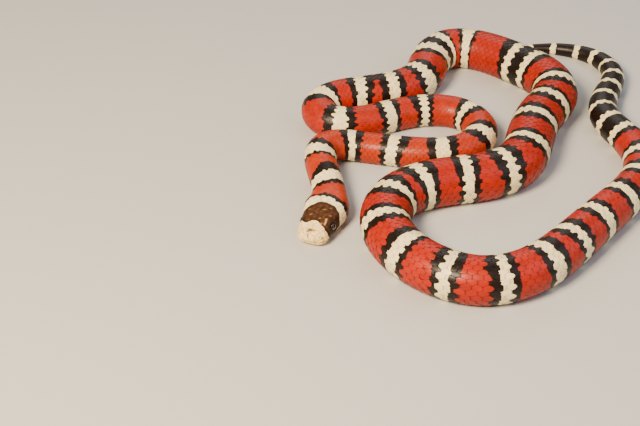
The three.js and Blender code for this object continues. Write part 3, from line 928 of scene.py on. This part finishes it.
coat = {
    "first": 15.2,  # place of the first row
    "cheekEnd": 16.4,  # the sides of the head are bare as far as this place
    "napeTurn": 0.5,  # before it, scales grow only within this turn of the middle of the back
    "napeShorter": (0.3, 8),  # rows on the nape are shorter by this share, fading over this length
    "pitch": (0.55, 0.255),  # a row's length: this much and this share of the half width
    "rowCounts": [
        (0, 21), (100, 23), (480, 21), (560, 19), (ventPlace, 17), (636, 13), (658, 11), (682, 9),
        (705, 7),
    ],  # (place, scales in a row from there on)
    "reach": 0.868,  # turn of the lowest row of scales
    "spread": 0.12,  # how much wider the lowest rows are set
    "length": 1.42,  # of a scale, in rows
    "width": 1.5,  # of a scale, in rows
    "rise": 1.3,  # of a scale, in depths of the coat
    "tipGap": 0.35,  # mm by which scales stay short of the tail's tip
    "colourSpot": 0.55,  # the share of its length where a scale takes its colour
    "rootShade": 0.88,  # painted shade on its low parts, where the scales before and beside it lie over it
    "shadeFade": (-0.1, 0.35),  # rises between which that painted shade goes over into its own tone
    # Lowest and highest draws: a root's shift in lengths, a length's share and a tone
    "shift": (-0.03, 0.03),
    "lengths": (0.97, 1.03),
    "tones": (0.9, 1.06),
    "seed": 5,
}


# Places of the rows: a running sum of rows per millimetre, read backwards at whole numbers.
def rowPlaces(start, end, step=0.05):
    fine = np.arange(coat["first"], snakeLength + 1, step)
    base, share = coat["pitch"]
    pitch = base + share * valueAt(girth["halfWidths"], np.minimum(fine, snakeLength))
    less, fade = coat["napeShorter"]
    pitch = pitch * (1 - less * bell((fine - coat["first"]) / fade))
    count = np.r_[0, np.cumsum(step / pitch[:-1])]
    places = np.interp(np.arange(int(count[-1])), count, fine)
    pitches = np.interp(places, fine, pitch)
    chosen = (places >= start) & (places < end)
    return places[chosen], pitches[chosen]


# Faces of a closed shell made of one grid: its upper side, a straight underside from the first
# row to the last, and one face along each edge.
def shellBlocks(rows, columns, count):
    row, column = gridOf(np.arange(rows - 1), np.arange(columns - 1))
    a = row * columns + column
    upper = facesOf(a, a + 1, a + columns + 1, a + columns)
    low = np.arange(columns - 1)
    far = (rows - 1) * columns
    under = facesOf(low, far + low, far + low + 1, low + 1)
    edges = np.arange(rows) * columns
    sides = np.stack([edges, edges[::-1] + columns - 1])
    offsets = np.arange(count)[:, None, None] * rows * columns
    return [
        ((upper[None] + offsets).reshape(-1, 4), True),
        ((under[None] + offsets).reshape(-1, 4), False),
        ((sides[None] + offsets).reshape(-1, rows), False),
    ]


# Where the shells' patches lie on the map OFBake, cut into strips laid one above the other: the
# share of a strip that roots are spread over and where they start, along it and across it
patches = {
    "strips": 14,
    "along": (0.99, 0.0035),
    "across": (0.94, 0.03),
    "half": 0.0015,  # half the side of a patch
}


# One shell at each root. It runs from its root to its tip with t and from edge to edge with u, which
# a power of u rounds off at the tip. Its form gives its width and its rise in depths of the coat, and
# it lies on the offset skin, so that it follows the body's bends.
def makeShells(name, material, root, turn, length, halfTurn, form, tones):
    turn, halfTurn = (np.broadcast_to(values, root.shape) for values in (turn, halfTurn))
    t, u = gridOf(form["t"], form["u"])
    along = (t - form["tipRound"] * np.abs(u) ** form["tipPower"] * t ** 2)[None] * length[:, None]
    width = form["width"](t)
    place = np.minimum(root[:, None] + along, snakeLength - coat["tipGap"])
    turns = turn[:, None] + (u * width)[None] * halfTurn[:, None]
    rise = form["rise"](t, u)[None]
    depth = scaleDepth(place)
    points = pointAt(place, turns, depth * (1 - rise))
    middle = root + coat["colourSpot"] * length
    painted = middle[:, None] + form["follow"] * (place - middle[:, None])
    ground, edge = patternAt(painted, turn[:, None] + form["followTurn"] * (turns - turn[:, None]))
    # The edge layer's fourth number: the drawn tone, with painted shade on the low parts
    low = coat["rootShade"]
    edge[..., 3] = tones[:, None] * (low + (1 - low) * ramp(*coat["shadeFade"], rise))
    layers = {"ground": ground, "edge": edge, "overlay": np.zeros_like(edge)}
    layers = {key: values.reshape(-1, 4) for key, values in layers.items()}
    strips, half = patches["strips"], patches["half"]
    share, start = patches["along"]
    roundShare, bottom = patches["across"]
    at = root / snakeLength * strips
    strip = np.minimum(np.floor(at), strips - 1)
    spotU = (at - strip)[:, None] * share + start + half * (2 * t - 1)[None]
    inStrip = (foldTurn(turn) + bellyMiddle) / (2 * bellyMiddle) * roundShare + bottom
    spotV = ((strip + inStrip) / strips)[:, None] + half * u[None]
    spots = np.stack([np.clip(spotU, 0, 1), np.clip(spotV, 0, 1)], axis=-1)
    blocks = shellBlocks(len(form["t"]), len(form["u"]), len(root))
    piece = makePiece(
        name, points.reshape(-1, 3), blocks, layers, material, spots.reshape(-1, 2)
    )


# A dorsal scale: a long rounded lozenge, as wide as a sine's power of t. It rises with t, less at its
# edges, and a parabola of t domes it. The pattern's place and turn follow its surface by a share, so
# that an edge between colours crosses it in steps.
scaleForm = {
    "t": np.array([0, 0.2, 0.4, 0.58, 0.74, 0.86, 0.95, 1]),
    "u": np.array([-1, -0.75, -0.4, 0, 0.4, 0.75, 1]),
    "tipRound": 0.2,
    "tipPower": 2,
    "width": lambda t: np.sin(np.pi * (0.16 + 0.72 * t)) ** 0.45,
    "rise": lambda t, u: coat["rise"] * (
        -0.15 + 0.8 * t - 0.1 * u ** 2 + 0.9 * t * (1 - t) * (1 - 0.7 * u ** 2)
    ),
    "follow": 0.5,
    "followTurn": 0.5,
}

# A belly scute: a wide band with a straight hind edge. It rises evenly with t, rounded off by high
# powers of t at the hind edge and of u at its ends.
scuteForm = {
    "t": np.array([0, 0.35, 0.7, 0.93, 1]),
    "u": np.linspace(-1, 1, 17),
    "tipRound": 0.3,
    "tipPower": 8,
    "width": lambda t: 0.96 + 0.04 * t,
    "rise": lambda t, u: -0.12 + 1.15 * t - 0.12 * t ** 6 - 0.2 * np.abs(u) ** 8,
    "follow": 0.4,
    "followTurn": 1,
}


# Turns at even shares of the section's arc: a running sum of the outline's steps, read backwards.
def evenTurns(place, shares, samples=241):
    turns = np.linspace(-coat["reach"], coat["reach"], samples)
    at, side, up = outlineAt(place[:, None] + 0 * turns[None], 0 * place[:, None] + turns[None], 0.0)
    steps = np.hypot(np.diff(side, axis=1), np.diff(up, axis=1))
    run = np.concatenate([np.zeros((len(place), 1)), np.cumsum(steps, axis=1)], axis=1)
    return np.array([np.interp(shares, 2 * row / row[-1] - 1, turns) for row in run])


# Roots of the dorsal scales between two places: rows set in quincunx, every second row half a
# scale further back. Their arcs follow a gentle cubic, so that the lowest rows are the widest.
def dorsalRoots(start, end):
    roots, turns, lengths, halfTurns = [], [], [], []
    bounds = [place for place, count in coat["rowCounts"]] + [snakeLength]
    for (lower, count), upper in zip(coat["rowCounts"], bounds[1:]):
        places, pitches = rowPlaces(max(start, lower), min(end, upper))
        x = np.linspace(-1, 1, count)
        if len(places) == 0:
            continue
        shares = (x + coat["spread"] * x ** 3) / (1 + coat["spread"])
        turn = evenTurns(places, shares)
        step = np.gradient(turn, axis=1)
        odd = (np.arange(count) % 2)[None] * 0.5
        roots.append((places[:, None] + odd * pitches[:, None]).ravel())
        turns.append(turn.ravel())
        lengths.append(np.repeat(pitches * coat["length"], count))
        halfTurns.append((step * coat["width"] / 2).ravel())
    columns = np.array([np.concatenate(values) for values in (roots, turns, lengths, halfTurns)])
    return columns[:, (columns[0] >= coat["cheekEnd"]) | (np.abs(columns[1]) < coat["napeTurn"])]


def makeDorsalScales():  # one piece for each length of the snake, from the nape to the tail
    draw = np.random.default_rng(coat["seed"])
    spans = [
        ("neck_scales", "body_scales", 0, 140),
        ("loop_scales", "body_scales", 140, 270),
        ("back_scales", "body_scales", 270, 400),
        ("flank_scales", "body_scales", 400, 510),
        ("loin_scales", "body_scales", 510, ventPlace),
        ("tail_scales", "tail_scales", ventPlace, snakeLength),
    ]
    for name, slotName, start, end in spans:
        root, turn, length, halfTurn = dorsalRoots(start, end)
        root = root + draw.uniform(*coat["shift"], len(root)) * length
        length = length * draw.uniform(*coat["lengths"], len(root))
        tones = draw.uniform(*coat["tones"], len(root))
        makeShells(name, bodyKeratin, root, turn, length, halfTurn, scaleForm, tones)


belly = {
    "gap": 0.02,  # turns between the lowest row's middle and the edge of the scutes
    "throatEnd": 25.5,
    "throatColumns": 7,
    "throatGap": 0.05,  # turns further in, where the throat's outer scales are
    "throatHalfTurn": 0.068,
    "scuteLength": 1.28,  # in rows
    "ventLonger": 1.4,  # how many times longer the vent's own scute is
    "scutesPast": 2,  # mm behind the vent where the scutes end
    "pairsPast": 3,  # and where the pairs under the tail start
    "pairsShort": 1.5,  # mm by which they stay short of the tail's tip
    "pairLength": 1.3,  # in rows
    "pairWider": 1.06,  # so that the two of a pair overlap a little
    "pairForm": {**scuteForm, "u": np.linspace(-1, 1, 9), "tipPower": 4},
    "tones": (0.93, 1.04),
    "seed": 6,
}


# The throat's small scales, then one wide scute for each row as far as the vent, whose own is
# longer, and two half scutes for each row under the tail.
def makeBellyScutes():
    draw = np.random.default_rng(belly["seed"])
    lowest = coat["reach"] + belly["gap"]
    columns, inwards = belly["throatColumns"], belly["throatGap"]
    places, pitches = rowPlaces(coat["cheekEnd"], belly["throatEnd"])
    turns = np.linspace(lowest + inwards, 2 * bellyMiddle - lowest - inwards, columns)
    grid = places[:, None] + (np.arange(columns) % 2)[None] * 0.5 * pitches[:, None]
    makeShells(
        "throat_scales", bellyKeratin, grid.ravel(),
        np.tile(turns, len(places)), np.repeat(pitches * coat["length"], columns),
        belly["throatHalfTurn"], scaleForm, draw.uniform(*belly["tones"], grid.size),
    )
    places, pitches = rowPlaces(belly["throatEnd"], ventPlace + belly["scutesPast"])
    lengths = pitches * belly["scuteLength"]
    lengths[-1] *= belly["ventLonger"]
    makeShells(
        "belly_scutes", bellyKeratin, places, bellyMiddle, lengths,
        bellyMiddle - lowest, scuteForm, draw.uniform(*belly["tones"], len(places)),
    )
    places, pitches = rowPlaces(ventPlace + belly["pairsPast"], snakeLength - belly["pairsShort"])
    halfSpan = (bellyMiddle - lowest) / 2
    pairs = np.concatenate([places, places + 0.5 * pitches])
    pairTurns = np.repeat([bellyMiddle - halfSpan, bellyMiddle + halfSpan], len(places))
    makeShells(
        "tail_scutes", bellyKeratin, pairs, pairTurns,
        np.tile(pitches, 2) * belly["pairLength"], halfSpan * belly["pairWider"],
        belly["pairForm"], draw.uniform(*belly["tones"], len(pairs)),
    )


makeDorsalScales()
makeBellyScutes()
print("coat made")


# Floor, lights and camera

studio = {  # in metres, but for the lens and its sensor
    "target": (-0.058, -0.034, 0),
    "cameraOffset": (0, -0.40958, 0.28679),
    "lens": 50,
    "sensor": 22.3,
    "clipStart": 0.01,
    "floorSize": 16,
    "floorCells": 8,
    "lamps": [  # place, size across, watts, colour
        ((-0.3, -0.36, 0.46), 0.2, 10.4, "#ffe3bd"),
        ((0.42, -0.1, 0.38), 0.5, 1.4, "#f2f4ff"),
        ((0.02, 0.5, 0.42), 0.4, 1.1, "#fffaf2"),
    ],
    "sky": ("#f3ece2", 0.26),
}

boardLook = {
    "colour": "#c3c5c6",
    "roughness": 0.8,
    "roller": (10 / 7, 3),  # mm and detail of the texture that a roller leaves
    "bump": (0.06, 0.2),  # strength, and height in mm
}


# Matt emulsion on a display board: pale, even, with a faint roller texture
def floorMaterial():
    material, tree, spot = newMaterial("matteBoardPaint")
    size, detail = boardLook["roller"]
    roller = addNode(tree, "ShaderNodeTexNoise", inputs={
        "Vector": spot, "Scale": perMetre(size), "Detail": detail,
    })
    strength, height = boardLook["bump"]
    bump = addNode(tree, "ShaderNodeBump", inputs={
        "Strength": strength, "Distance": height * metresPerMm, "Height": roller.outputs["Fac"],
    })
    shader = addNode(tree, "ShaderNodeBsdfPrincipled", inputs={
        "Base Color": (*linear(boardLook["colour"]), 1), "Roughness": boardLook["roughness"],
        "Normal": bump.outputs["Normal"],
    })
    addNode(tree, "ShaderNodeOutputMaterial", inputs={"Surface": shader.outputs["BSDF"]})
    return material


def makeFloor():  # a square grid of a few cells
    half, cells = studio["floorSize"] / 2, studio["floorCells"]
    steps = np.linspace(-half, half, cells + 1)
    y, x = gridOf(steps, steps)
    row, column = gridOf(np.arange(cells), np.arange(cells))
    a = row * (cells + 1) + column
    quads = facesOf(a, a + 1, a + cells + 2, a + cells + 1)
    mesh = bpy.data.meshes.new("floor")
    mesh.from_pydata(np.stack([x, y, 0 * x], axis=-1).tolist(), [], quads.tolist())
    mesh.materials.append(floorMaterial())
    floor = bpy.data.objects.new("floor", mesh)
    bpy.context.scene.collection.objects.link(floor)
    floor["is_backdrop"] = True


def aimAt(thing, target):  # turned so that its own minus z points at the target
    direction = target - thing.location
    thing.rotation_euler = direction.to_track_quat("-Z", "Y").to_euler()


def makeLights():  # three soft square lamps aimed at the middle of the snake, and a faint sky
    low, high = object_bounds()
    middle = (low + high) / 2
    for number, (where, size, watts, tint) in enumerate(studio["lamps"]):
        lamp = bpy.data.lights.new(f"softbox{number + 1}", "AREA")
        lamp.shape = "SQUARE"
        lamp.size = size
        lamp.energy = watts
        lamp.color = linear(tint)
        holder = bpy.data.objects.new(lamp.name, lamp)
        bpy.context.scene.collection.objects.link(holder)
        holder.location = where
        aimAt(holder, middle)
    world = bpy.data.worlds.new("paleRoom")
    world.use_nodes = True
    tint, strength = studio["sky"]
    background = world.node_tree.nodes["Background"]
    background.inputs["Color"].default_value = (*linear(tint), 1)
    background.inputs["Strength"].default_value = strength
    bpy.context.scene.world = world


def makeCamera():  # at an offset from the point that it is aimed at
    lens = bpy.data.cameras.new("camera")
    lens.lens = studio["lens"]
    lens.sensor_width = studio["sensor"]
    lens.clip_start = studio["clipStart"]
    camera = bpy.data.objects.new("camera", lens)
    bpy.context.scene.collection.objects.link(camera)
    target = Vector(studio["target"])
    camera.location = target + Vector(studio["cameraOffset"])
    aimAt(camera, target)
    bpy.context.scene.camera = camera


makeFloor()
makeLights()
makeCamera()
print("studio made")
